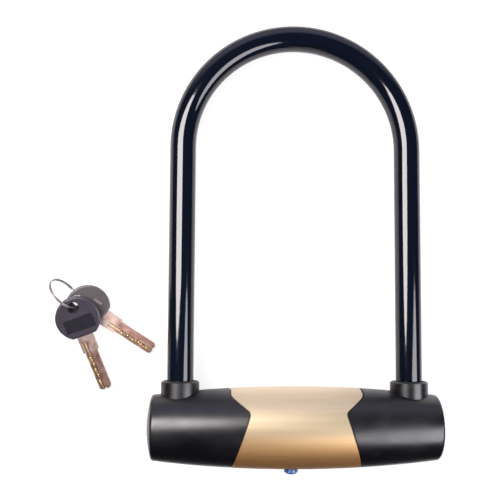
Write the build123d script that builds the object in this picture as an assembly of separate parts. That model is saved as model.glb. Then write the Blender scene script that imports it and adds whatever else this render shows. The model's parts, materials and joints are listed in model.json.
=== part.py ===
from build123d import *
from math import asin, degrees
import os

# A bicycle U lock with its two keys on a split ring.
# Millimetres. The lock lies flat: X runs along the crossbar, Y up the legs to the arch, Z up.
# The origin is the centre of the crossbar, on its axis. The lock is closed and unlocked.

# ---- crossbar, outside ----
BAR_LENGTH = 165.0
BAR_R_MIDDLE = 23.5
BAR_R_END = 18.5
BAR_END_DOME = 2.7
BAR_EDGE_R = 2.2
SLEEVE_THICKNESS = 1.2
SLEEVE_EDGE_BEVEL = 0.35
SEAM_WIDE = 37.5
SEAM_WAIST = 26.5
SEAM_SHOULDER_Y = 18.7
SEAM_WAIST_Y = 10.1
SEAM_CORNER_R = 3.0
SEAM_GAP = 0.45

# ---- crossbar, inside ----
TUBE_R = 17.4
TUBE_BORE_R = 15.2
TUBE_LENGTH = 156.0
COVER_END_WALL = 4.0
CARRIER_LENGTH = 80.0
CARRIER_GAP = 0.1
END_PLUG_THICKNESS = 3.8
PIN_R = 1.5
PIN_SINK = 0.1
FIT = 0.05
CLOSE_FIT = 0.02
BEYOND = 30.0  # farther from the X axis than any surface of the crossbar

# ---- shackle ----
LEG_X = 66.5
LEG_R = 7.0
LEG_FOOT_Y = -12.5
LEG_FOOT_CHAMFER = 1.2
ARCH_CENTRE_Y = 163.0
COAT_R = 7.6
COAT_FOOT_Y = 27.0
NECK_R = 7.3
NECK_FOOT_Y = 14.0
NOTCH_DEPTH = 4.7
NOTCH_HALF_HEIGHT = 4.7

# ---- collars and seals ----
COLLAR_R = 11.0
COLLAR_FOOT_Y = 5.0
COLLAR_TOP_Y = 26.5
COLLAR_BORE_R = 8.0
COLLAR_CHAMFER = 0.9
SEAL_R = 9.2
SEAL_BORE_R = 7.36
SEAL_HEIGHT = 1.6
SEAL_RECESS = 0.3
SEAL_LIP_R = 0.4

# ---- lock cylinder, on the Y axis ----
HOUSING_R = 12.8
HOUSING_FRONT_Y = -17.5
HOUSING_BACK_Y = 6.5
NOSE_R = 8.5
NOSE_FRONT_Y = -19.5
PLUG_R = 6.5
PLUG_FRONT_Y = -19.3
PLUG_HEAD_R = 7.3
PLUG_HEAD_HEIGHT = 1.0
TAIL_R = 4.0
TAIL_END_Y = 8.0
TENON_SIDE = 3.4
CLIP_GROOVE_R = 3.2
CLIP_Y = 6.6
CLIP_THICKNESS = 0.8
CLIP_R = 7.6
CLIP_GRIP = 0.6
KEYWAY_WIDTH = 3.0
KEYWAY_HEIGHT = 7.3
KEYWAY_END_Y = 4.5

# ---- pin tumblers ----
CHAMBER_COUNT = 5
CHAMBER_FIRST_Y = -14.5
CHAMBER_PITCH = 3.8
CHAMBER_R = 1.55
TUMBLER_R = 1.45
TUMBLER_TIP_R = 0.6
KEY_PIN_TOP = 6.33
KEY_PIN_LENGTHS = (3.4, 4.2, 3.8, 4.6, 3.6)
DRIVER_FOOT = 6.56
DRIVER_LENGTH = 2.9
SPRING_TOP = 11.9
SPRING_COIL_R = 1.1
SPRING_WIRE_R = 0.2
SPRING_TURNS = 3
STRIP_BOTTOM = 11.95
STRIP_THICKNESS = 0.6
STRIP_HALF_WIDTH = 1.75
STRIP_OVERHANG = 2.3

# ---- cam and bolts ----
CAM_R = 10.4
CAM_FRONT_Y = 8.0
CAM_THICKNESS = 2.8
CAM_PIN_R = 1.2
CAM_PIN_REACH = 4.2
CAM_SLOT_GAP = 0.1
CAM_SLOT_STEPS = 12
BOLT_TRAVEL = 4.5
BOLT_TIP_X = 58.9
BOLT_HEEL_X = 30.0
BOLT_SHOULDER_X = 36.0
BOLT_HALF_HEIGHT = 4.0
BOLT_HALF_WIDTH = 5.0
BOLT_CHAMFER = 0.6
BOLT_GAP = 0.1
ARM_HALF_WIDTH = 4.0
ARM_START_X = 1.2
ARM_LOW_Y = 11.2
ARM_HIGH_Y = 13.6
GUIDE_START_X = 41.2
GUIDE_END_X = 56.0
GUIDE_PIN_Y = 9.5

# ---- dust cover, on the underside ----
COVER_PLATE_OUTER_R = 21.3
COVER_PLATE_INNER_R = 20.4
COVER_PLATE_HALF_WIDTH = 5.5
COVER_PLATE_START_X = -20.0
COVER_PLATE_END_X = 8.3
COVER_TRAVEL = 12.5
COVER_GAP = 0.2
KNOB_X = -2.4
KNOB_R = 4.0
KNOB_STEM_R = 2.6
KNOB_RIVET_R = 1.75
KNOB_DOME_R = 2.6
KNOB_TIP_R = 1.6
KNOB_FOOT_Y = -26.4
KNOB_SHOULDER_Y = -25.3
KNOB_HEAD_Y = -23.8
KNOB_RIBS = 18
KNOB_RIB_R = 0.36
SLOT_HALF_WIDTH = 4.5
SLOT_START_X = -19.3
SLOT_END_X = 6.8

# ---- keys and ring ----
KEY_HEAD_R = 13.0
KEY_HEAD_THICKNESS = 4.8
KEY_HEAD_FLAT = 11.0
KEY_HEAD_EDGE_R = 1.0
KEY_HOLE_R = 3.4
KEY_HOLE_OFFSET = 7.1
PANEL_LENGTH = 17.6
PANEL_WIDTH = 8.2
PANEL_CORNER_R = 0.8
PANEL_DEPTH = 0.6
PANEL_OFFSET = 3.2
GRIP_BAR_COUNT = 4
GRIP_BAR_PITCH = 4.0
GRIP_BAR_LENGTH = 5.6
GRIP_BAR_WIDTH = 1.6
GRIP_BAR_HEIGHT = 0.35
BLADE_TIP = 53.0
BLADE_TIP_BEVEL = 1.2
BLADE_TIP_NOTCH = 0.6
BLADE_WIDTH = 7.0
BLADE_THICKNESS = 2.8
BLADE_SHOULDER_WIDTH = 9.2
BLADE_SHOULDER_END = 28.4
BLADE_TANG_START = 12.5
GROOVE_START = 22.5
GROOVE_PLACES = (-2.4, -0.5)
GROOVE_WIDTH = 0.7
GROOVE_DEPTH = 0.45
DIMPLE_PLACES = (-1.8, -1.3, -1.6, -1.3, -1.8)
DIMPLE_START = 32.0
DIMPLE_TIP_R = 0.3
DIMPLE_R = 1.1
DIMPLE_DEPTH = 0.7
RING_R = 10.4
RING_WIRE_R = 0.36
RING_PITCH = 0.8
RING_TURNS = 1.9
FRONT_KEY = {"hole": (-129.2, 68.0, -10.1), "turn": -69.4, "tilt": 12.0, "over": 0}
BACK_KEY = {"hole": (-127.9, 71.5, -17.9), "turn": -33.1, "tilt": 4.0, "over": 180}
RING_CENTRE = (-134.83, 75.66, -12.73)
RING_TURN = 42.6
RING_TILT = 22.5

# The lock rests on its belly and on the top of its arch, so the table leans to its plane by this much.
REST_TILT = degrees(asin((BAR_R_MIDDLE - COAT_R) / (ARCH_CENTRE_Y + LEG_X)))

SIDES = {"left": -1, "right": 1}


def rod_x(radius, start, end, y=0.0, z=0.0):
    """A round bar along X."""
    return Pos((start + end) / 2, y, z) * Rot(0, 90, 0) * Cylinder(radius, end - start)


def rod_y(radius, start, end, x=0.0, z=0.0):
    """A round bar along Y."""
    return Pos(x, (start + end) / 2, z) * Rot(90, 0, 0) * Cylinder(radius, end - start)


def rod_z(radius, start, end, x=0.0, y=0.0):
    """A round bar along Z."""
    return Pos(x, y, (start + end) / 2) * Cylinder(radius, end - start)


def block(x, y, z):
    """A box between three pairs of limits."""
    centre = [sum(pair) / 2 for pair in (x, y, z)]
    sizes = [abs(pair[1] - pair[0]) for pair in (x, y, z)]
    return Pos(*centre) * Box(*sizes)


def mirrored(shape):
    """The same piece on the other side of the lock's middle plane."""
    return mirror(shape, about=Plane.YZ)


def on_side(side, shape):
    """A piece modelled on the right, moved to its side."""
    return shape if side == "right" else mirrored(shape)


def pins_along_z(radius, reach, x, y):
    """One cross pin on each side of the lock."""
    pin = rod_z(radius, -reach, reach, x, y)
    return Compound([pin.solid(), mirrored(pin).solid()])


# ---- crossbar, outside ----


def barrel(inset=0.0):
    """The crossbar's round form, drawn in by inset, with domed ends."""
    half = BAR_LENGTH / 2
    end_r = BAR_R_END - inset
    dome_r = (end_r**2 + BAR_END_DOME**2) / (2 * BAR_END_DOME)
    left = (-half, end_r)
    right = (half, end_r)
    left_tip = (-half - BAR_END_DOME, 0)
    right_tip = (half + BAR_END_DOME, 0)
    outline = [
        ThreePointArc(left, (0, BAR_R_MIDDLE - inset), right),
        RadiusArc(right, right_tip, dome_r),
        Line(right_tip, left_tip),
        RadiusArc(left_tip, left, dome_r),
    ]
    return revolve(make_face(outline), Axis.X)


def seam_prism(grow=0.0):
    """Everything between the two waisted seams, which look the same from above and below."""
    right = [
        (SEAM_WIDE, BEYOND),
        (SEAM_WIDE, SEAM_SHOULDER_Y),
        (SEAM_WAIST, SEAM_WAIST_Y),
        (SEAM_WIDE, -BAR_R_MIDDLE),
        (SEAM_WIDE, -BEYOND),
    ]
    left = [(-x, y) for x, y in reversed(right)]
    face = make_face(FilletPolyline(*right, *left, radius=SEAM_CORNER_R, close=True))
    if grow:
        face = offset(face, grow)
    return extrude(face, BEYOND, both=True)


def cover_slot(half_width, start, end):
    """The long round-ended opening for the dust cover's knob, along X on the underside."""
    reach = (-BEYOND, -COVER_PLATE_INNER_R)
    left = start + half_width
    right = end - half_width
    middle = block((left, right), reach, (-half_width, half_width))
    return middle + rod_y(half_width, *reach, left) + rod_y(half_width, *reach, right)


def centre_sleeve():
    shell = (barrel() - barrel(SLEEVE_THICKNESS)) & seam_prism()
    rims = [e for e in shell.edges() if e.geom_type != GeomType.CIRCLE and rim_distance(e) < 0.02]
    shell = chamfer(rims, SLEEVE_EDGE_BEVEL)
    return shell - cover_slot(SLOT_HALF_WIDTH, SLOT_START_X, SLOT_END_X)


def rim_distance(edge):
    """How far an edge's middle lies from the barrel's outer surface."""
    middle = edge @ 0.5
    sagitta = BAR_R_MIDDLE - BAR_R_END
    half = BAR_LENGTH / 2
    arc_r = (half**2 + sagitta**2) / (2 * sagitta)
    surface_r = BAR_R_MIDDLE - arc_r + (arc_r**2 - middle.X**2) ** 0.5
    return abs((middle.Y**2 + middle.Z**2) ** 0.5 - surface_r)


def end_cover():
    half = BAR_LENGTH / 2
    cover = barrel()
    rims = cover.edges().filter_by(lambda e: e.is_closed and abs(e.center().X - half) < FIT)
    cover = fillet(rims, BAR_EDGE_R)
    cover -= seam_prism(SEAM_GAP)
    cover -= block((-BAR_LENGTH, 0), (-BEYOND, BEYOND), (-BEYOND, BEYOND))
    cover -= barrel(SLEEVE_THICKNESS) & rod_x(BEYOND, 0, CARRIER_LENGTH / 2 + FIT)
    cover -= rod_x(TUBE_R + FIT, 0, half - COVER_END_WALL)
    return cover - rod_y(COLLAR_R + FIT, 0, BEYOND, LEG_X)


def collar():
    body = rod_y(COLLAR_R, COLLAR_FOOT_Y, COLLAR_TOP_Y, LEG_X)
    top = body.edges().filter_by(GeomType.CIRCLE).group_by(Axis.Y)[-1]
    body = chamfer(top, COLLAR_CHAMFER)
    body -= rod_x(TUBE_R + FIT, 0, BAR_LENGTH)
    body -= rod_y(COLLAR_BORE_R, 0, BEYOND, LEG_X)
    return body - rod_y(SEAL_R + FIT, COLLAR_TOP_Y - SEAL_HEIGHT - SEAL_RECESS, BEYOND, LEG_X)


def leg_seals():
    top = COLLAR_TOP_Y - SEAL_RECESS
    ring = rod_y(SEAL_R, top - SEAL_HEIGHT, top, LEG_X)
    ring = fillet(ring.edges().filter_by(GeomType.CIRCLE).group_by(Axis.Y)[-1], SEAL_LIP_R)
    ring -= rod_y(SEAL_BORE_R, 0, BEYOND, LEG_X)
    return Compound([ring.solid(), mirrored(ring).solid()])


# ---- crossbar, inside ----


def pin_hole(x, y=0.0):
    """A hole through the whole crossbar for a cross pin along Z."""
    return rod_z(PIN_R + FIT, -BEYOND, BEYOND, x, y)


def pin_reach(off_axis):
    """Half the length of a cross pin that ends just under the tube's surface."""
    return (TUBE_R**2 - (off_axis + PIN_R) ** 2) ** 0.5 - PIN_SINK


def lock_tube():
    half = TUBE_LENGTH / 2
    tube = rod_x(TUBE_R, -half, half) - rod_x(TUBE_BORE_R, -half, half)
    for side in SIDES.values():
        tube -= rod_y(COLLAR_BORE_R, COLLAR_FOOT_Y, BEYOND, side * LEG_X)
        tube -= pin_hole(side * end_pin_x())
        tube -= pin_hole(side * guide_pin_x(), GUIDE_PIN_Y)
    tube -= rod_y(HOUSING_R + FIT, -BEYOND, 0)
    return tube - pin_hole(-housing_pin_x())


def end_pin_x():
    return (TUBE_LENGTH - END_PLUG_THICKNESS) / 2


def guide_pin_x():
    return (GUIDE_START_X + GUIDE_END_X) / 2


def housing_pin_x():
    return (HOUSING_R + PLUG_R) / 2


def end_plug():
    half = TUBE_LENGTH / 2
    plug = rod_x(TUBE_BORE_R - FIT, half - END_PLUG_THICKNESS, half)
    return plug - pin_hole(end_pin_x())


def end_plug_pins():
    return pins_along_z(PIN_R, pin_reach(0), end_pin_x(), 0)


def sleeve_carrier():
    half = CARRIER_LENGTH / 2
    core = barrel(SLEEVE_THICKNESS + FIT) & rod_x(BEYOND, -half, half)
    core -= rod_x(TUBE_R + FIT, -BAR_LENGTH, BAR_LENGTH)
    core -= rod_y(HOUSING_R + CARRIER_GAP, HOUSING_FRONT_Y - CARRIER_GAP, 0)
    core -= rod_y(NOSE_R + CARRIER_GAP, -BEYOND, 0)
    bed = COVER_PLATE_HALF_WIDTH + COVER_GAP
    run = (COVER_PLATE_START_X - COVER_TRAVEL - COVER_GAP, COVER_PLATE_END_X + COVER_GAP)
    pocket = block(run, (-BEYOND, 0), (-bed, bed))
    return core - (pocket - rod_x(COVER_PLATE_INNER_R - FIT, -BAR_LENGTH, BAR_LENGTH))


# ---- shackle ----


def shackle_path(foot_y):
    right_foot = (LEG_X, foot_y)
    right_top = (LEG_X, ARCH_CENTRE_Y)
    left_top = (-LEG_X, ARCH_CENTRE_Y)
    left_foot = (-LEG_X, foot_y)
    arch = ThreePointArc(right_top, (0, ARCH_CENTRE_Y + LEG_X), left_top)
    return Wire([Line(right_foot, right_top), arch.edge(), Line(left_top, left_foot)])


def bent_bar(radius, foot_y):
    path = shackle_path(foot_y)
    section = Plane(origin=path @ 0, z_dir=path % 0) * Circle(radius)
    return sweep(section, path=path)


def shackle_rod():
    bar = bent_bar(LEG_R, LEG_FOOT_Y)
    bar = chamfer(bar.edges().filter_by(GeomType.CIRCLE).group_by(Axis.Y)[0], LEG_FOOT_CHAMFER)
    inner = LEG_X - LEG_R
    notch = block(
        (inner - 1, inner + NOTCH_DEPTH), (-NOTCH_HALF_HEIGHT, NOTCH_HALF_HEIGHT), (-LEG_R, LEG_R)
    )
    return bar - notch - mirrored(notch)


def shackle_sleeve():
    coat = bent_bar(COAT_R, COAT_FOOT_Y)
    for side in SIDES.values():
        coat += rod_y(NECK_R, NECK_FOOT_Y, COAT_FOOT_Y, side * LEG_X)
    return coat - bent_bar(LEG_R + CLOSE_FIT, LEG_FOOT_Y)


# ---- lock cylinder ----


def chamber_heights():
    return [CHAMBER_FIRST_Y + CHAMBER_PITCH * i for i in range(CHAMBER_COUNT)]


def on_locked_row(shape):
    """A piece of the open row, moved to the row that a turned plug faces."""
    return Rot(0, 90, 0) * shape


def chambers(start, end):
    holes = Part()
    for y in chamber_heights():
        holes += rod_z(CHAMBER_R, start, end, 0, y)
    return holes


def strip_limits():
    rows = chamber_heights()
    return (rows[0] - STRIP_OVERHANG, rows[-1] + STRIP_OVERHANG)


def cylinder_housing():
    body = rod_y(HOUSING_R, HOUSING_FRONT_Y, HOUSING_BACK_Y) + rod_y(NOSE_R, NOSE_FRONT_Y, HOUSING_FRONT_Y)
    body -= rod_y(PLUG_R + FIT, -BEYOND, BEYOND)
    body -= rod_y(PLUG_HEAD_R + FIT, -BEYOND, PLUG_FRONT_Y + PLUG_HEAD_HEIGHT + FIT)
    low, high = strip_limits()
    groove_half = STRIP_HALF_WIDTH + FIT
    groove = block((-groove_half, groove_half), (low - FIT, high + FIT), (STRIP_BOTTOM - CLOSE_FIT, BEYOND))
    open_row = chambers(0, STRIP_BOTTOM) + groove
    body -= open_row
    body -= on_locked_row(open_row)
    return body - pin_hole(-housing_pin_x())


def housing_pin():
    reach = pin_reach(housing_pin_x())
    return rod_z(PIN_R, -reach, reach, -housing_pin_x())


def chamber_strips():
    low, high = strip_limits()
    strip = block(
        (-STRIP_HALF_WIDTH, STRIP_HALF_WIDTH), (low, high), (STRIP_BOTTOM, STRIP_BOTTOM + STRIP_THICKNESS)
    )
    return Compound([strip.solid(), on_locked_row(strip).solid()])


def cylinder_plug():
    plug = rod_y(PLUG_R, PLUG_FRONT_Y, HOUSING_BACK_Y)
    plug += rod_y(PLUG_HEAD_R, PLUG_FRONT_Y, PLUG_FRONT_Y + PLUG_HEAD_HEIGHT)
    plug += rod_y(TAIL_R, HOUSING_BACK_Y, TAIL_END_Y)
    groove = rod_y(PLUG_R, CLIP_Y - CLOSE_FIT, CLIP_Y + CLIP_THICKNESS + CLOSE_FIT)
    plug -= groove - rod_y(CLIP_GROOVE_R, 0, BEYOND)
    half = TENON_SIDE / 2
    plug += block((-half, half), (TAIL_END_Y, CAM_FRONT_Y + CAM_THICKNESS), (-half, half))
    depth = (-BEYOND, KEYWAY_END_Y)
    plug -= block((-KEYWAY_WIDTH / 2, KEYWAY_WIDTH / 2), depth, (-KEYWAY_HEIGHT / 2, KEYWAY_HEIGHT / 2))
    return plug - chambers(0, BEYOND)


def plug_clip():
    ring = rod_y(CLIP_R, CLIP_Y, CLIP_Y + CLIP_THICKNESS)
    ring -= rod_y(CLIP_GROOVE_R + CLOSE_FIT, 0, BEYOND)
    mouth = CLIP_GROOVE_R - CLIP_GRIP
    return ring - block((0, BEYOND), (0, BEYOND), (-mouth, mouth))


def tumbler(foot, length, y, pointed):
    """One pin of a row, with a pointed foot where it meets the key."""
    pin = rod_z(TUMBLER_R, foot, foot + length, 0, y)
    if pointed:
        rim = pin.edges().filter_by(GeomType.CIRCLE).group_by(Axis.Z)[0]
        pin = chamfer(rim, TUMBLER_R - TUMBLER_TIP_R)
    return pin.solid()


def key_pins():
    rows = zip(KEY_PIN_LENGTHS, chamber_heights())
    return Compound([tumbler(KEY_PIN_TOP - length, length, y, True) for length, y in rows])


def driver_pins():
    return Compound([tumbler(DRIVER_FOOT, DRIVER_LENGTH, y, False) for y in chamber_heights()])


def driver_springs():
    foot = DRIVER_FOOT + DRIVER_LENGTH + SPRING_WIRE_R + CLOSE_FIT
    height = SPRING_TOP - SPRING_WIRE_R - foot
    coil = Helix(pitch=height / SPRING_TURNS, height=height, radius=SPRING_COIL_R)
    wire = sweep(Plane(origin=coil @ 0, z_dir=coil % 0) * Circle(SPRING_WIRE_R), path=coil)
    return Compound([(Pos(0, y, foot) * wire).solid() for y in chamber_heights()])


# ---- cam and bolts ----


def cam_slot():
    """A slot that leads its pin outward by the bolt's travel as the cam turns a quarter turn."""
    points = []
    for step in range(CAM_SLOT_STEPS + 1):
        share = step / CAM_SLOT_STEPS
        reach = CAM_PIN_REACH + BOLT_TRAVEL * share
        points.append(Vector(reach, CAM_FRONT_Y, 0).rotate(Axis.Y, -90 * share))
    path = Spline(*points)
    half = CAM_PIN_R + CAM_SLOT_GAP
    depth = 2 * CAM_THICKNESS
    across = Plane(origin=path @ 0, x_dir=(0, 1, 0), z_dir=path % 0) * Rectangle(2 * depth, 2 * half)
    slot = sweep(across, path=path, transition=Transition.RIGHT)
    for end in (path @ 0, path @ 1):
        slot += rod_y(half, CAM_FRONT_Y - depth, CAM_FRONT_Y + depth, end.X, end.Z)
    return slot


def cam_disc():
    disc = rod_y(CAM_R, CAM_FRONT_Y, CAM_FRONT_Y + CAM_THICKNESS)
    half = TENON_SIDE / 2 + CLOSE_FIT
    disc -= block((-half, half), (0, BEYOND), (-half, half))
    slot = cam_slot()
    return disc - slot - Rot(0, 180, 0) * slot


def bolt():
    tall = (-BOLT_HALF_HEIGHT, BOLT_HALF_HEIGHT)
    nose = block((BOLT_SHOULDER_X, BOLT_TIP_X), tall, (-BOLT_HALF_WIDTH, BOLT_HALF_WIDTH))
    nose = chamfer(nose.faces().sort_by(Axis.X)[-1].edges(), BOLT_CHAMFER)
    wide = (-ARM_HALF_WIDTH, ARM_HALF_WIDTH)
    riser = block((BOLT_HEEL_X, BOLT_SHOULDER_X), (-BOLT_HALF_HEIGHT, ARM_HIGH_Y), wide)
    arm = block((ARM_START_X, BOLT_HEEL_X), (ARM_LOW_Y, ARM_HIGH_Y), wide)
    return nose + riser + arm - rod_y(CAM_PIN_R + CLOSE_FIT, 0, BEYOND, CAM_PIN_REACH)


def bolt_pin():
    return rod_y(CAM_PIN_R, CAM_FRONT_Y + PIN_SINK, ARM_HIGH_Y - PIN_SINK, CAM_PIN_REACH)


def bolt_guide():
    guide = rod_x(TUBE_BORE_R - FIT, GUIDE_START_X, GUIDE_END_X)
    high = BOLT_HALF_HEIGHT + BOLT_GAP
    wide = BOLT_HALF_WIDTH + BOLT_GAP
    guide -= block((0, BAR_LENGTH), (-high, high), (-wide, wide))
    return guide - pin_hole(guide_pin_x(), GUIDE_PIN_Y)


def guide_pins():
    return pins_along_z(PIN_R, pin_reach(GUIDE_PIN_Y), guide_pin_x(), GUIDE_PIN_Y)


# ---- dust cover ----


def dust_cover_plate():
    span = (COVER_PLATE_START_X, COVER_PLATE_END_X)
    arc = rod_x(COVER_PLATE_OUTER_R, *span) - rod_x(COVER_PLATE_INNER_R, *span)
    half = COVER_PLATE_HALF_WIDTH
    plate = arc & block(span, (-BEYOND, 0), (-half, half))
    return plate - rod_y(KNOB_RIVET_R + FIT, -BEYOND, 0, KNOB_X)


def dust_cover_knob():
    """A domed button ribbed round its edge, on a stem that is riveted into the plate."""
    core_r = KNOB_R - KNOB_RIB_R
    plate_outside = -COVER_PLATE_OUTER_R - FIT
    profile = make_face(
        [
            Line((0, KNOB_FOOT_Y), (KNOB_TIP_R, KNOB_FOOT_Y)),
            RadiusArc((KNOB_TIP_R, KNOB_FOOT_Y), (core_r, KNOB_SHOULDER_Y), -KNOB_DOME_R),
            Polyline(
                (core_r, KNOB_SHOULDER_Y),
                (core_r, KNOB_HEAD_Y),
                (KNOB_STEM_R, KNOB_HEAD_Y),
                (KNOB_STEM_R, plate_outside),
                (KNOB_RIVET_R, plate_outside),
                (KNOB_RIVET_R, -COVER_PLATE_INNER_R),
                (0, -COVER_PLATE_INNER_R),
                (0, KNOB_FOOT_Y),
            ),
        ]
    )
    knob = revolve(profile, Axis.Y)
    for i in range(KNOB_RIBS):
        rib = rod_y(KNOB_RIB_R, KNOB_SHOULDER_Y, KNOB_HEAD_Y, core_r)
        knob += Rot(0, 360 / KNOB_RIBS * i, 0) * rib
    return Pos(KNOB_X, 0, 0) * knob


# ---- keys and ring: a key's own X runs from its hole to its tip, and its Z is its face's normal ----


def on_table(shape):
    """A piece placed in the table's frame, moved to the lock's frame."""
    return Rot(REST_TILT, 0, 0) * shape


def placed(key, shape):
    lying = Rot(0, 0, key["turn"]) * Rot(0, key["tilt"], 0) * Rot(key["over"], 0, 0) * shape
    return on_table(Pos(*key["hole"]) * lying)


def key_head():
    """A round plastic head, with a sunk panel on one face and four grip bars on the other."""
    half = KEY_HEAD_THICKNESS / 2
    flat_x = KEY_HOLE_OFFSET + KEY_HEAD_FLAT
    head = rod_z(KEY_HEAD_R, -half, half, KEY_HOLE_OFFSET)
    head &= block((-KEY_HEAD_R, flat_x), (-KEY_HEAD_R, KEY_HEAD_R), (-half, half))
    head = fillet(head.faces().filter_by(Axis.Z).edges(), KEY_HEAD_EDGE_R)
    panel_x = KEY_HOLE_OFFSET + PANEL_OFFSET
    panel = RectangleRounded(PANEL_WIDTH, PANEL_LENGTH, PANEL_CORNER_R)
    head -= Pos(panel_x, 0, half) * extrude(panel, PANEL_DEPTH, both=True)
    grip = RectangleRounded(GRIP_BAR_LENGTH, GRIP_BAR_WIDTH, GRIP_BAR_WIDTH / 3)
    for i in range(GRIP_BAR_COUNT):
        y = (i - (GRIP_BAR_COUNT - 1) / 2) * GRIP_BAR_PITCH
        head += Pos(panel_x, y, -half) * extrude(grip, GRIP_BAR_HEIGHT, both=True)
    head -= rod_z(KEY_HOLE_R, -KEY_HEAD_R, KEY_HEAD_R)
    wide = BLADE_SHOULDER_WIDTH / 2 + FIT
    thick = BLADE_THICKNESS / 2 + CLOSE_FIT
    return head - block((BLADE_TANG_START - FIT, BLADE_TIP), (-wide, wide), (-thick, thick))


def key_blade():
    """A flat dimple-cut blade with a wider shoulder, the same whichever face is up."""
    half = BLADE_WIDTH / 2
    shoulder = BLADE_SHOULDER_WIDTH / 2
    bevel_x = BLADE_TIP - BLADE_TIP_BEVEL
    side = [
        (BLADE_TIP, BLADE_TIP_NOTCH),
        (BLADE_TIP, half - BLADE_TIP_BEVEL),
        (bevel_x, half),
        (BLADE_SHOULDER_END, half),
        (BLADE_SHOULDER_END, shoulder),
        (BLADE_TANG_START, shoulder),
    ]
    other_side = [(x, -y) for x, y in reversed(side)]
    outline = Polyline((bevel_x, 0), *side, *other_side, close=True)
    top = BLADE_THICKNESS / 2
    blade = extrude(make_face(outline), top, both=True)
    cuts = face_cuts(top)
    return blade - cuts - Rot(180, 0, 0) * cuts


def face_cuts(top):
    """The two long grooves and the dimples that are cut into a blade's upper face."""
    cuts = Part()
    for y in GROOVE_PLACES:
        across = (y - GROOVE_WIDTH / 2, y + GROOVE_WIDTH / 2)
        cuts += block((GROOVE_START, KEY_HEAD_R + BLADE_TIP), across, (top - GROOVE_DEPTH, 2 * top))
    cone = Cone(DIMPLE_TIP_R, DIMPLE_R, DIMPLE_DEPTH)
    for i, y in enumerate(DIMPLE_PLACES):
        cuts += Pos(DIMPLE_START + CHAMBER_PITCH * i, y, top - DIMPLE_DEPTH / 2 + CLOSE_FIT) * cone
    return cuts


def key_ring():
    """A split ring: one wire coiled not quite twice round."""
    height = RING_PITCH * RING_TURNS
    coil = Helix(pitch=RING_PITCH, height=height, radius=RING_R)
    wire = sweep(Plane(origin=coil @ 0, z_dir=coil % 0) * Circle(RING_WIRE_R), path=coil)
    wire = Pos(0, 0, -height / 2) * wire
    return on_table(Pos(*RING_CENTRE) * Rot(0, 0, RING_TURN) * Rot(0, 90 - RING_TILT, 0) * wire)


def pieces():
    """Every node of the lock, by name."""
    made = {
        "lock_tube": lock_tube(),
        "end_plug_pins": end_plug_pins(),
        "sleeve_carrier": sleeve_carrier(),
        "centre_sleeve": centre_sleeve(),
        "leg_seals": leg_seals(),
        "cylinder_housing": cylinder_housing(),
        "housing_pin": housing_pin(),
        "chamber_strips": chamber_strips(),
        "driver_pins_locked": on_locked_row(driver_pins()),
        "driver_springs_locked": on_locked_row(driver_springs()),
        "driver_pins_open": driver_pins(),
        "driver_springs_open": driver_springs(),
        "guide_pins": guide_pins(),
        "cylinder_plug": cylinder_plug(),
        "plug_clip": plug_clip(),
        "key_pins": key_pins(),
        "cam_disc": cam_disc(),
        "shackle_rod": shackle_rod(),
        "shackle_sleeve": shackle_sleeve(),
        "dust_cover_plate": dust_cover_plate(),
        "dust_cover_knob": dust_cover_knob(),
        "key_ring": key_ring(),
    }
    paired = {
        "end_cover": end_cover(),
        "collar": collar(),
        "end_plug": end_plug(),
        "bolt_guide": bolt_guide(),
        "bolt": bolt(),
        "bolt_pin": bolt_pin(),
    }
    for side in SIDES:
        for name, shape in paired.items():
            made[f"{name}_{side}"] = on_side(side, shape)
    for name, key in (("front", FRONT_KEY), ("back", BACK_KEY)):
        made[f"key_head_{name}"] = placed(key, key_head())
        made[f"key_blade_{name}"] = placed(key, key_blade())
    return made


os.makedirs("parts", exist_ok=True)
for node, shape in pieces().items():
    export_step(shape, f"parts/{node}.step")
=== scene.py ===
import json
import math

import bpy
from mathutils import Matrix, Vector


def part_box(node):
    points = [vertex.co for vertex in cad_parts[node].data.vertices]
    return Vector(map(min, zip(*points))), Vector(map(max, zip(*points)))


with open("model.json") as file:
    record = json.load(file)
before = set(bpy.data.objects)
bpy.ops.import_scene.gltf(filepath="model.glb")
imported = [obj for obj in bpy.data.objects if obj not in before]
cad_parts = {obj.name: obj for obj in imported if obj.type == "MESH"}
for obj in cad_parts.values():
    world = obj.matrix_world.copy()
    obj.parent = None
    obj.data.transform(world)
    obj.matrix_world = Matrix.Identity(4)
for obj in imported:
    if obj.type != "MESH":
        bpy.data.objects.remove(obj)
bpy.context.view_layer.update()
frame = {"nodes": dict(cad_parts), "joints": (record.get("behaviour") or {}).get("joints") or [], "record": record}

MM = 0.001

# The lock rests on its belly and on the top of its arch, so the table leans to the lock's own plane.
# Everything else here, such as the camera, the lights and the pool, is placed in the lock's own frame.
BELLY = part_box("centre_sleeve")
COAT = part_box("shackle_sleeve")
BELLY_R = (BELLY[1].z - BELLY[0].z) / 2
COAT_R = (COAT[1].z - COAT[0].z) / 2
REST_TILT = math.asin((BELLY_R - COAT_R) / (COAT[1].y - COAT_R))
TABLE = Matrix.Rotation(REST_TILT, 4, "X")
TABLE_HALF_SIZE = 12.0

# The pool of light painted into the table's colour, which the table's reflection shows: its middle, where it fades
# and how far. In front of the crossbar the table is darkened by painted shade.
POOL_Y = 0.10
POOL_INNER_R = 0.13
POOL_OUTER_R = 0.30
POOL_DIM = 0.12
# Painted shade in front of the crossbar: where along Y the table's colour darkens, and how dark it gets.
POOL_PAINTED_SHADE_Y = (-0.052, -0.038)
POOL_PAINTED_SHADE_DIM = 0.10
POOL_COLOUR = (0.62, 0.62, 0.63)
FLOOR_ROUGH = 0.9

# What the camera sees of the table: a little grey that takes shadow, and a glow that rises outward.
FLOOR_GREY = 0.16
FLOOR_GLOW = (0.84, 1.0)
FLOOR_GLOW_FROM_TO = (0.20, 0.60)

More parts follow.
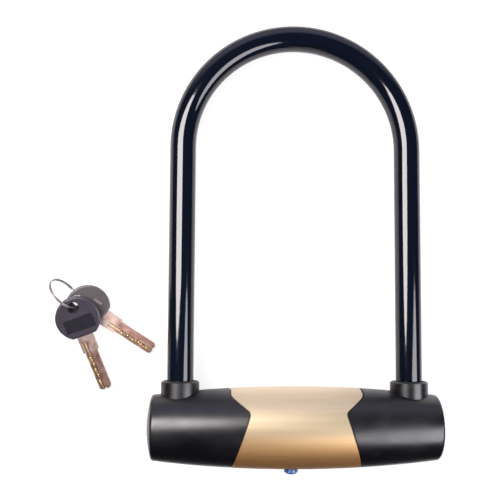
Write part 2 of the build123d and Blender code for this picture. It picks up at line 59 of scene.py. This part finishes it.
# Each softbox: its limits along X and Y, its radiance and its colour. Both hang at one height.
SOFTBOX_HEIGHT = 0.77
SOFTBOXES = {
    "softbox_left": ((-0.93, -0.10), (0.03, 0.56), 20.5, (1.0, 0.93, 0.92)),
    "softbox_right": ((0.22, 1.60), (-0.84, 0.13), 9.5, (0.97, 0.95, 1.0)),
}

ROOM_COLOUR = (0.034, 0.037, 0.056, 1.0)
WALL_COLOUR = (0.98, 0.98, 1.30, 1.0)
WALL_FROM_TO = (0.58, 0.80)
WHITE = (1.0, 1.0, 1.0, 1.0)

CAMERA_LENS = 61.2
CAMERA_SENSOR = 36.0
CAMERA_REACH = 50.0
CAMERA_PLACE = (-0.0517, 0.0604, 0.4953)
CAMERA_PITCH = 4.845
CAMERA_YAW = -2.877
CAMERA_ROLL = 0.582

# A key's own sizes, from its hole and its middle plane.
KEY_SHOULDER_END = 28.4 * MM
KEY_SHOULDER_BLUR = 0.3 * MM
KEY_CUTS_START = 22.5 * MM
KEY_BLADE_TOP = 1.4 * MM
KEY_CUTS_HALF_WIDTH = 3.3 * MM
KEY_RIM_DEPTH = 0.05 * MM
KEY_BARE_DEPTH = 0.30 * MM
KEY_GROOVE_DEPTH = 0.42 * MM
KEY_DIMPLE_DEPTH = 0.60 * MM
# Where the strip of wear lies across the blade; it also paints light on one half of each blade face.
KEY_WEAR_AND_LIGHT_FROM = -3.0 * MM
KEY_WEAR_AND_LIGHT_TO = -0.1 * MM
KEY_HEAD_TOP = 2.4 * MM
KEY_PANEL_FLOOR = 1.8 * MM
KEY_PANEL_HALF_LENGTH = 8.7 * MM
KEY_PANEL_REACH = (6.25 * MM, 14.35 * MM)
KEY_PANEL_SLACK = (0.1 * MM, 0.05 * MM)
KEY_BAR_RISE = (0.05 * MM, 0.3 * MM)

PLASTIC_IOR = 1.5
VINYL_IOR = 1.46
RUBBED_PLASTIC_GAIN = 1.8
GRIP_BAR_GAIN = 2.2
DUST_COLOUR = (0.10, 0.10, 0.105)
PANEL_COLOUR = (0.0012, 0.0008, 0.0050)

# Where noise, which mostly stays near 0.5, turns from one end of its effect to the other.
WIDE = (0.3, 0.7)
MIDDLE = (0.35, 0.65)

# The gold's colours across the sleeve, by their place between the two limits in Y. These colours are painted light
# and shade: a pale painted sheen towards the arch, painted shade through the middle and a deeper orange towards
# the front.
GOLD_PAINTED_LIGHT_Y = (-18 * MM, 16 * MM)
GOLD_PAINTED_FRONT = (0.49, 0.245, 0.080)
GOLD_PAINTED_LIGHT_STOPS = (
    (0.24, (0.51, 0.300, 0.120)),
    (0.53, (0.285, 0.222, 0.134)),
    (0.68, (0.318, 0.262, 0.164)),
    (0.95, (0.545, 0.445, 0.300)),
)

PLATED_DARK = (0.27, 0.150, 0.118)
PLATED_LIGHT = (0.37, 0.228, 0.188)
FROSTED = (0.42, 0.33, 0.295)
# The brass of the wear strip also paints light on one half of each blade face.
WEAR_AND_PAINTED_LIGHT_BRASS = (0.62, 0.42, 0.22)
# The dimple brass is exposed brass brightened into a painted highlight; the groove brass is painted shade in the
# groove floors.
DIMPLE_BRASS_AND_HIGHLIGHT = (1.0, 0.80, 0.50)
GROOVE_PAINTED_SHADE = (0.045, 0.018, 0.010)

# ---- materials ----


class Shader:
    """One material's node tree, built up call by call round a Principled shader."""

    def __init__(self, name):
        self.material = bpy.data.materials.new(name)
        self.material.use_nodes = True
        self.tree = self.material.node_tree
        self.tree.nodes.clear()
        self.output = self.add("ShaderNodeOutputMaterial")
        self.principled = self.add("ShaderNodeBsdfPrincipled")
        self.link(self.principled.outputs["BSDF"], self.output.inputs["Surface"])
        self.place = self.add("ShaderNodeTexCoord").outputs["Object"]

    def add(self, kind, **settings):
        node = self.tree.nodes.new(kind)
        for key, value in settings.items():
            setattr(node, key, value)
        return node

    def link(self, source, target):
        self.tree.links.new(source, target)

    def put(self, value, socket):
        """Links a node's output to a socket, or sets the socket to a plain value."""
        if hasattr(value, "is_linked"):
            self.link(value, socket)
        else:
            socket.default_value = value

    def set(self, **values):
        for name, value in values.items():
            self.put(value, self.principled.inputs[name.replace("_", " ")])

    def noise(self, scale, detail=4.0, roughness=0.55, stretch=(1, 1, 1)):
        """Noise of the given scale in the object's metres, stretched by direction."""
        mapping = self.add("ShaderNodeMapping")
        mapping.inputs["Scale"].default_value = stretch
        self.link(self.place, mapping.inputs["Vector"])
        node = self.add("ShaderNodeTexNoise")
        node.inputs["Scale"].default_value = scale
        node.inputs["Detail"].default_value = detail
        node.inputs["Roughness"].default_value = roughness
        self.link(mapping.outputs["Vector"], node.inputs["Vector"])
        return node.outputs["Fac"]

    def span(self, factor, low, high, start=0.0, end=1.0):
        """A number that goes from low to high as the factor goes from start to end."""
        node = self.add("ShaderNodeMapRange")
        limits = (("From Min", start), ("From Max", end), ("To Min", low), ("To Max", high))
        for name, value in limits:
            node.inputs[name].default_value = value
        self.link(factor, node.inputs["Value"])
        return node.outputs["Result"]

    def blend(self, factor, low, high):
        """A colour between two colours."""
        node = self.add("ShaderNodeMix", data_type="RGBA")
        self.link(factor, node.inputs["Factor"])
        for socket, colour in ((node.inputs["A"], low), (node.inputs["B"], high)):
            self.put(colour if hasattr(colour, "is_linked") else (*colour, 1.0), socket)
        return node.outputs["Result"]

    def math(self, operation, *values):
        node = self.add("ShaderNodeMath", operation=operation)
        for socket, value in zip(node.inputs, values):
            self.put(value, socket)
        return node.outputs["Value"]

    def past(self, origin, direction):
        """How far past a point this place is, in a direction."""
        offset = self.add("ShaderNodeVectorMath", operation="SUBTRACT")
        self.link(self.place, offset.inputs[0])
        offset.inputs[1].default_value = origin
        dot = self.add("ShaderNodeVectorMath", operation="DOT_PRODUCT")
        self.link(offset.outputs["Vector"], dot.inputs[0])
        dot.inputs[1].default_value = direction
        return dot.outputs["Value"]

    def within(self, value, low, high):
        """1 between two limits, 0 outside them."""
        above = self.math("GREATER_THAN", value, low)
        return self.math("MULTIPLY", above, self.math("LESS_THAN", value, high))

    def bump(self, height, strength, distance, after=None):
        """A bumped normal, on top of an earlier one if that is given."""
        node = self.add("ShaderNodeBump")
        node.inputs["Strength"].default_value = strength
        node.inputs["Distance"].default_value = distance
        self.link(height, node.inputs["Height"])
        if after is not None:
            self.link(after, node.inputs["Normal"])
        return node.outputs["Normal"]

    def hollows(self, reach):
        """Near 1 in grooves and corners, near 0 on open faces."""
        node = self.add("ShaderNodeAmbientOcclusion", only_local=True, samples=8)
        node.inputs["Distance"].default_value = reach
        return self.span(node.outputs["AO"], 1.0, 0.0, 0.45, 0.95)


def gloss_vinyl():
    """Dipped vinyl: a deep blue-black gloss with a slow ripple and a faint orange peel."""
    s = Shader("gloss_vinyl")
    ripple = s.bump(s.noise(38, 2), 0.35, 0.35 * MM)
    peel = s.bump(s.noise(520, 3), 0.05, 0.12 * MM, ripple)
    s.set(
        Base_Color=s.blend(s.noise(90), (0.0012, 0.0022, 0.0050), (0.0020, 0.0034, 0.0075)),
        Roughness=s.span(s.noise(160), 0.05, 0.10),
        IOR=VINYL_IOR,
        Normal=peel,
    )
    return s.material


def satin_plastic(name, low, high, gloss):
    """Moulded plastic: fine grain, a cloudy sheen, a few faint rubbed lines and specks of dust."""
    s = Shader(name)
    cloud = s.noise(70, 5)
    rubs = s.span(s.noise(40, 6, 0.7, (1, 14, 14)), 0.0, 1.0, 0.62, 0.75)
    grain = s.bump(s.noise(2600, 2), 0.16, 0.10 * MM)
    dents = s.bump(s.noise(420, 3), 0.06, 0.10 * MM, grain)
    rubbed = tuple(RUBBED_PLASTIC_GAIN * c for c in high)
    base = s.blend(rubs, s.blend(cloud, low, high), rubbed)
    dust = s.span(s.noise(950, 1), 0.0, 0.35, 0.77, 0.80)
    s.set(
        Base_Color=s.blend(dust, base, DUST_COLOUR),
        Roughness=s.span(cloud, gloss - 0.05, gloss + 0.07, *WIDE),
        IOR=PLASTIC_IOR,
        Normal=dents,
    )
    return s.material


def gold_aluminium():
    """Champagne anodising on fine blasting and brushing, with painted light across the sleeve: a pale painted
    sheen towards the arch and painted shade half way.
    """
    s = Shader("gold_aluminium")
    # Painted light and shade: the colour ramp over Y paints the sheen towards the arch and the shade through the
    # middle.
    across = s.past((0.0, 0.0, 0.0), (0.0, 1.0, 0.0))
    painted_light_ramp = s.add("ShaderNodeValToRGB")
    s.link(s.span(across, 0.0, 1.0, *GOLD_PAINTED_LIGHT_Y), painted_light_ramp.inputs["Fac"])
    stops = painted_light_ramp.color_ramp.elements
    stops.remove(stops[1])
    stops[0].color = (*GOLD_PAINTED_FRONT, 1.0)
    for place, colour in GOLD_PAINTED_LIGHT_STOPS:
        stops.new(place).color = (*colour, 1.0)
    streaks = s.noise(60, 5, 0.6, (0.12, 8, 8))
    cloudy = s.add("ShaderNodeHueSaturation")
    s.link(painted_light_ramp.outputs["Color"], cloudy.inputs["Color"])
    s.link(s.span(streaks, 0.93, 1.07, *WIDE), cloudy.inputs["Value"])
    brush = s.bump(s.noise(160, 3, 0.6, (0.2, 9, 9)), 0.06, 0.12 * MM)
    blast = s.bump(s.noise(2400, 2), 0.12, 0.06 * MM, brush)
    s.set(
        Base_Color=cloudy.outputs["Color"],
        Metallic=0.9,
        Roughness=s.span(s.noise(900, 3), 0.46, 0.56, *WIDE),
        Coat_Weight=0.6,
        Coat_Roughness=0.5,
        Normal=blast,
    )
    return s.material


def metal(name, low, high, rough, turned=(1, 1, 1), stain=None):
    """A plain metal with tool marks along one direction, and a stain in its hollows if one is given."""
    s = Shader(name)
    cloud = s.noise(120, 5)
    marks = s.bump(s.noise(900, 3, 0.6, turned), 0.10, 0.08 * MM)
    colour = s.blend(cloud, low, high)
    if stain:
        colour = s.blend(s.hollows(1.2 * MM), colour, stain)
    s.set(
        Base_Color=colour,
        Metallic=1.0,
        Roughness=s.span(s.noise(300, 4), rough - 0.06, rough + 0.08, *WIDE),
        Normal=marks,
    )
    return s.material


def key_axes(side):
    """A key's hole, and the directions along its blade, across it and up out of its upper face."""
    joint = next(j for j in frame["joints"] if j["name"] == f"{side}_key_swing")
    hole = Vector(joint["pos_m"])
    up = Vector(joint["axis"]).normalized()
    low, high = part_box(f"key_blade_{side}")
    middle = (low + high) / 2 - hole
    along = (middle - up * middle.dot(up)).normalized()
    return hole, along, up.cross(along), up


def key_metal(side):
    """Copper-toned nickel, frosted on its shoulders, with brass in its cuts and a strip of wear by them. The cuts
    carry a painted highlight in the dimples and painted shade in the grooves; the strip also paints light on one
    half of each face.
    """
    s = Shader(f"key_metal_{side}")
    hole, along, across, up = key_axes(side)
    reach = s.past(hole, along)
    width = s.math("ABSOLUTE", s.past(hole, across))
    height = s.math("ABSOLUTE", s.past(hole, up))
    rubbed = s.noise(230, 5, 0.6)
    plated = s.blend(s.span(rubbed, 0.0, 1.0, *MIDDLE), PLATED_DARK, PLATED_LIGHT)
    shoulder_limits = (KEY_SHOULDER_END - KEY_SHOULDER_BLUR, KEY_SHOULDER_END + KEY_SHOULDER_BLUR)
    shoulder = s.span(reach, 1.0, 0.0, *shoulder_limits)
    frost = s.math("MULTIPLY", shoulder, s.span(rubbed, 0.3, 1.0, 0.35, 0.6))
    frosted = s.blend(frost, plated, FROSTED)
    below = s.span(height, 1.0, 0.0, KEY_BLADE_TOP - KEY_BARE_DEPTH, KEY_BLADE_TOP - KEY_RIM_DEPTH)
    cut = s.math("MULTIPLY", below, s.math("LESS_THAN", width, KEY_CUTS_HALF_WIDTH))
    # Painted highlight and shade in the cuts: the dimple floors get brightened brass, the groove floors near-black
    # shade.
    shallow = s.span(height, 0.0, 1.0, KEY_BLADE_TOP - KEY_DIMPLE_DEPTH, KEY_BLADE_TOP - KEY_GROOVE_DEPTH)
    bare_brass_with_painted_light = s.blend(shallow, DIMPLE_BRASS_AND_HIGHLIGHT, GROOVE_PAINTED_SHADE)
    # The strip of wear on one half of each face is also painted light.
    handed = s.math("MULTIPLY", s.past(hole, across), s.past(hole, up))
    cut_side = s.within(handed, KEY_WEAR_AND_LIGHT_FROM * KEY_BLADE_TOP, KEY_WEAR_AND_LIGHT_TO * KEY_BLADE_TOP)
    ungripped = s.math("GREATER_THAN", reach, KEY_CUTS_START)
    mottled = s.span(s.noise(500, 4), 0.0, 0.9, 0.42, 0.58)
    wear_and_painted_light = s.math("MULTIPLY", s.math("MULTIPLY", cut_side, ungripped), mottled)
    brassy = s.blend(wear_and_painted_light, frosted, WEAR_AND_PAINTED_LIGHT_BRASS)
    grain = s.bump(s.noise(700, 3, 0.5), 0.05, 0.04 * MM)
    polish = s.span(rubbed, 0.34, 0.44, *MIDDLE)
    s.set(
        Base_Color=s.blend(cut, brassy, bare_brass_with_painted_light),
        Metallic=0.92,
        Roughness=s.math("ADD", polish, s.math("MULTIPLY", shoulder, 0.05)),
        Normal=grain,
    )
    return s.material


def key_plastic(side, low, high, gloss):
    """A moulded key head, with a dark inlay in its sunk panel and paler raised bars."""
    s = Shader(f"key_plastic_{side}")
    hole, along, across, up = key_axes(side)
    cloud = s.noise(150, 5)
    height = s.math("ABSOLUTE", s.past(hole, up))
    sunk = s.within(height, KEY_PANEL_FLOOR - KEY_PANEL_SLACK[0], KEY_HEAD_TOP - KEY_PANEL_SLACK[1])
    length = s.within(s.past(hole, across), -KEY_PANEL_HALF_LENGTH, KEY_PANEL_HALF_LENGTH)
    reach = s.within(s.past(hole, along), *KEY_PANEL_REACH)
    panel = s.math("MULTIPLY", sunk, s.math("MULTIPLY", length, reach))
    proud = s.span(height, 0.0, 1.0, KEY_HEAD_TOP + KEY_BAR_RISE[0], KEY_HEAD_TOP + KEY_BAR_RISE[1])
    plain = s.blend(proud, s.blend(cloud, low, high), tuple(GRIP_BAR_GAIN * c for c in high))
    grain = s.bump(s.noise(2200, 2), 0.16, 0.10 * MM)
    s.set(
        Base_Color=s.blend(panel, plain, PANEL_COLOUR),
        Roughness=s.span(cloud, gloss - 0.02, gloss + 0.03, *WIDE),
        IOR=PLASTIC_IOR,
        Normal=grain,
    )
    return s.material


def blue_plastic():
    """A glossy blue moulding under a thin clear coat."""
    s = Shader("blue_plastic")
    s.set(
        Base_Color=s.blend(s.noise(300, 3), (0.016, 0.060, 0.19), (0.03, 0.10, 0.27)),
        Roughness=s.span(s.noise(700, 3), 0.12, 0.22),
        IOR=PLASTIC_IOR,
        Coat_Weight=0.5,
        Coat_Roughness=0.08,
        Normal=s.bump(s.noise(800, 2), 0.05, 0.05 * MM),
    )
    return s.material


def seal_rubber():
    """Dull black rubber with a powdery bloom."""
    s = Shader("seal_rubber")
    s.set(
        Base_Color=s.blend(s.noise(350, 5), (0.012, 0.012, 0.013), (0.035, 0.035, 0.036)),
        Roughness=s.span(s.noise(500, 4), 0.62, 0.82),
        Normal=s.bump(s.noise(1800, 3), 0.2, 0.08 * MM),
    )
    return s.material


def make_materials():
    """One finished material for each slot of the record, and two for the slots of the keys."""
    made = {
        "gloss_vinyl": gloss_vinyl(),
        "gold_aluminium": gold_aluminium(),
        "blue_plastic": blue_plastic(),
        "seal_rubber": seal_rubber(),
        "front_key_plastic": key_plastic("front", (0.014, 0.011, 0.018), (0.024, 0.020, 0.030), 0.38),
        "back_key_plastic": key_plastic("back", (0.036, 0.031, 0.033), (0.046, 0.040, 0.043), 0.30),
        "front_key_metal": key_metal("front"),
        "back_key_metal": key_metal("back"),
    }
    for name, low, high, gloss in (
        ("satin_plastic", (0.0006, 0.0005, 0.0012), (0.0014, 0.0012, 0.0022), 0.33),
        ("carrier_plastic", (0.006, 0.006, 0.006), (0.012, 0.012, 0.012), 0.55),
    ):
        made[name] = satin_plastic(name, low, high, gloss)
    for name, low, high, rough, turned, stain in (
        ("hardened_steel", (0.45, 0.45, 0.47), (0.58, 0.58, 0.60), 0.34, (1, 0.1, 1), None),
        ("bright_steel", (0.62, 0.62, 0.64), (0.74, 0.74, 0.76), 0.24, (1, 0.2, 1), None),
        ("spring_steel", (0.50, 0.51, 0.54), (0.66, 0.67, 0.70), 0.26, (1, 1, 1), None),
        ("shutter_steel", (0.20, 0.20, 0.22), (0.32, 0.32, 0.34), 0.38, (0.1, 1, 1), None),
        ("ring_steel", (0.20, 0.18, 0.175), (0.30, 0.28, 0.27), 0.45, (1, 1, 1), None),
        ("brass", (0.72, 0.50, 0.20), (0.84, 0.62, 0.30), 0.28, (1, 0.2, 1), (0.35, 0.22, 0.08)),
    ):
        made[name] = metal(name, low, high, rough, turned, stain)
    return made


def dress_nodes(materials):
    """Gives every CAD node the material of its slot. The slots of the keys have one for each key."""
    for part in frame["record"]["subparts"]:
        name, slot = part["node"], part["material_slot"]
        if slot.startswith("key_"):
            slot = f"{name.rsplit('_', 1)[1]}_{slot}"
        node = frame["nodes"][name]
        node.data.materials.clear()
        node.data.materials.append(materials[slot])


# ---- stage, lights and camera ----


def shown_by_ray(tree, reflected, seen, output):
    """Shows one shader to the camera and another in reflections."""
    ray = tree.nodes.new("ShaderNodeLightPath")
    choose = tree.nodes.new("ShaderNodeMixShader")
    tree.links.new(ray.outputs["Is Camera Ray"], choose.inputs["Fac"])
    tree.links.new(reflected, choose.inputs[1])
    tree.links.new(seen, choose.inputs[2])
    tree.links.new(choose.outputs["Shader"], output.inputs["Surface"])


def make_floor():
    """A pale table top that touches the crossbar's belly and the top of the arch.

    The camera sees it as nearly white. In reflections it shows a pool of light painted into its colour round the
    lock, which dims outward, and painted shade in front of the crossbar.
    """
    mesh = bpy.data.meshes.new("table_top")
    half = TABLE_HALF_SIZE
    square = ((-half, -half), (half, -half), (half, half), (-half, half))
    corners = [TABLE @ Vector((x, y, -BELLY_R)) for x, y in square]
    mesh.from_pydata(corners, [], [(0, 1, 2, 3)])
    floor = bpy.data.objects.new("table_top", mesh)
    bpy.context.scene.collection.objects.link(floor)
    s = Shader("table_top")
    away = s.add("ShaderNodeVectorMath", operation="DISTANCE")
    s.link(s.place, away.inputs[0])
    away.inputs[1].default_value = (0.0, POOL_Y, 0.0)
    distance = away.outputs["Value"]
    split = s.add("ShaderNodeSeparateXYZ")
    s.link(s.place, split.inputs["Vector"])
    # Painted light and shade on the table's colour: a pool of light that dims outward, and shade in front of the
    # crossbar.
    pool = s.span(distance, 1.0, POOL_DIM, POOL_INNER_R, POOL_OUTER_R)
    front = s.span(split.outputs["Y"], POOL_PAINTED_SHADE_DIM, 1.0, *POOL_PAINTED_SHADE_Y)
    s.set(
        Base_Color=s.blend(s.math("MULTIPLY", pool, front), (0.0, 0.0, 0.0), POOL_COLOUR),
        Roughness=FLOOR_ROUGH,
        Specular_IOR_Level=0.0,
    )
    seen = s.add("ShaderNodeBsdfPrincipled")
    seen.inputs["Base Color"].default_value = (FLOOR_GREY, FLOOR_GREY, FLOOR_GREY, 1.0)
    seen.inputs["Roughness"].default_value = FLOOR_ROUGH
    seen.inputs["Specular IOR Level"].default_value = 0.0
    seen.inputs["Emission Color"].default_value = WHITE
    glow = s.span(distance, *FLOOR_GLOW, *FLOOR_GLOW_FROM_TO)
    s.link(glow, seen.inputs["Emission Strength"])
    shown_by_ray(s.tree, s.principled.outputs["BSDF"], seen.outputs["BSDF"], s.output)
    mesh.materials.append(s.material)


def make_lights():
    """Two ovals of light above the lock, facing down."""
    for name, (x, y, radiance, colour) in SOFTBOXES.items():
        light = bpy.data.lights.new(name, "AREA")
        light.shape = "ELLIPSE"
        light.size = x[1] - x[0]
        light.size_y = y[1] - y[0]
        area = math.pi / 4 * light.size * light.size_y
        light.energy = radiance * math.pi * area
        light.color = colour
        lamp = bpy.data.objects.new(name, light)
        bpy.context.scene.collection.objects.link(lamp)
        lamp.location = (sum(x) / 2, sum(y) / 2, SOFTBOX_HEIGHT)
        lamp.visible_camera = False


def make_world():
    """A dark room with a pale wall beyond the arch, but white all over where the camera sees it."""
    world = bpy.data.worlds.new("studio")
    world.use_nodes = True
    bpy.context.scene.world = world
    tree = world.node_tree
    tree.nodes.clear()
    output = tree.nodes.new("ShaderNodeOutputWorld")
    split = tree.nodes.new("ShaderNodeSeparateXYZ")
    tree.links.new(tree.nodes.new("ShaderNodeTexCoord").outputs["Generated"], split.inputs["Vector"])
    wall = tree.nodes.new("ShaderNodeMapRange")
    wall.inputs["From Min"].default_value = WALL_FROM_TO[0]
    wall.inputs["From Max"].default_value = WALL_FROM_TO[1]
    tree.links.new(split.outputs["Y"], wall.inputs["Value"])
    colour = tree.nodes.new("ShaderNodeMix")
    colour.data_type = "RGBA"
    colour.inputs["A"].default_value = ROOM_COLOUR
    colour.inputs["B"].default_value = WALL_COLOUR
    tree.links.new(wall.outputs["Result"], colour.inputs["Factor"])
    room = tree.nodes.new("ShaderNodeBackground")
    tree.links.new(colour.outputs["Result"], room.inputs["Color"])
    seen = tree.nodes.new("ShaderNodeBackground")
    seen.inputs["Color"].default_value = WHITE
    shown_by_ray(tree, room.outputs["Background"], seen.outputs["Background"], output)


def make_camera():
    """Almost straight above the table, as in the photograph, with the lock to the right of the middle."""
    camera = bpy.data.cameras.new("camera")
    camera.lens = CAMERA_LENS
    camera.sensor_width = CAMERA_SENSOR
    camera.clip_end = CAMERA_REACH
    holder = bpy.data.objects.new("camera", camera)
    bpy.context.scene.collection.objects.link(holder)
    place = Matrix.Translation(CAMERA_PLACE)
    pitch = Matrix.Rotation(math.radians(CAMERA_PITCH), 4, "X")
    yaw = Matrix.Rotation(math.radians(CAMERA_YAW), 4, "Y")
    roll = Matrix.Rotation(math.radians(CAMERA_ROLL), 4, "Z")
    holder.matrix_world = place @ pitch @ yaw @ roll
    bpy.context.scene.camera = holder


dress_nodes(make_materials())
make_floor()
make_lights()
make_world()
make_camera()
bpy.context.scene.view_settings.view_transform = "Standard"
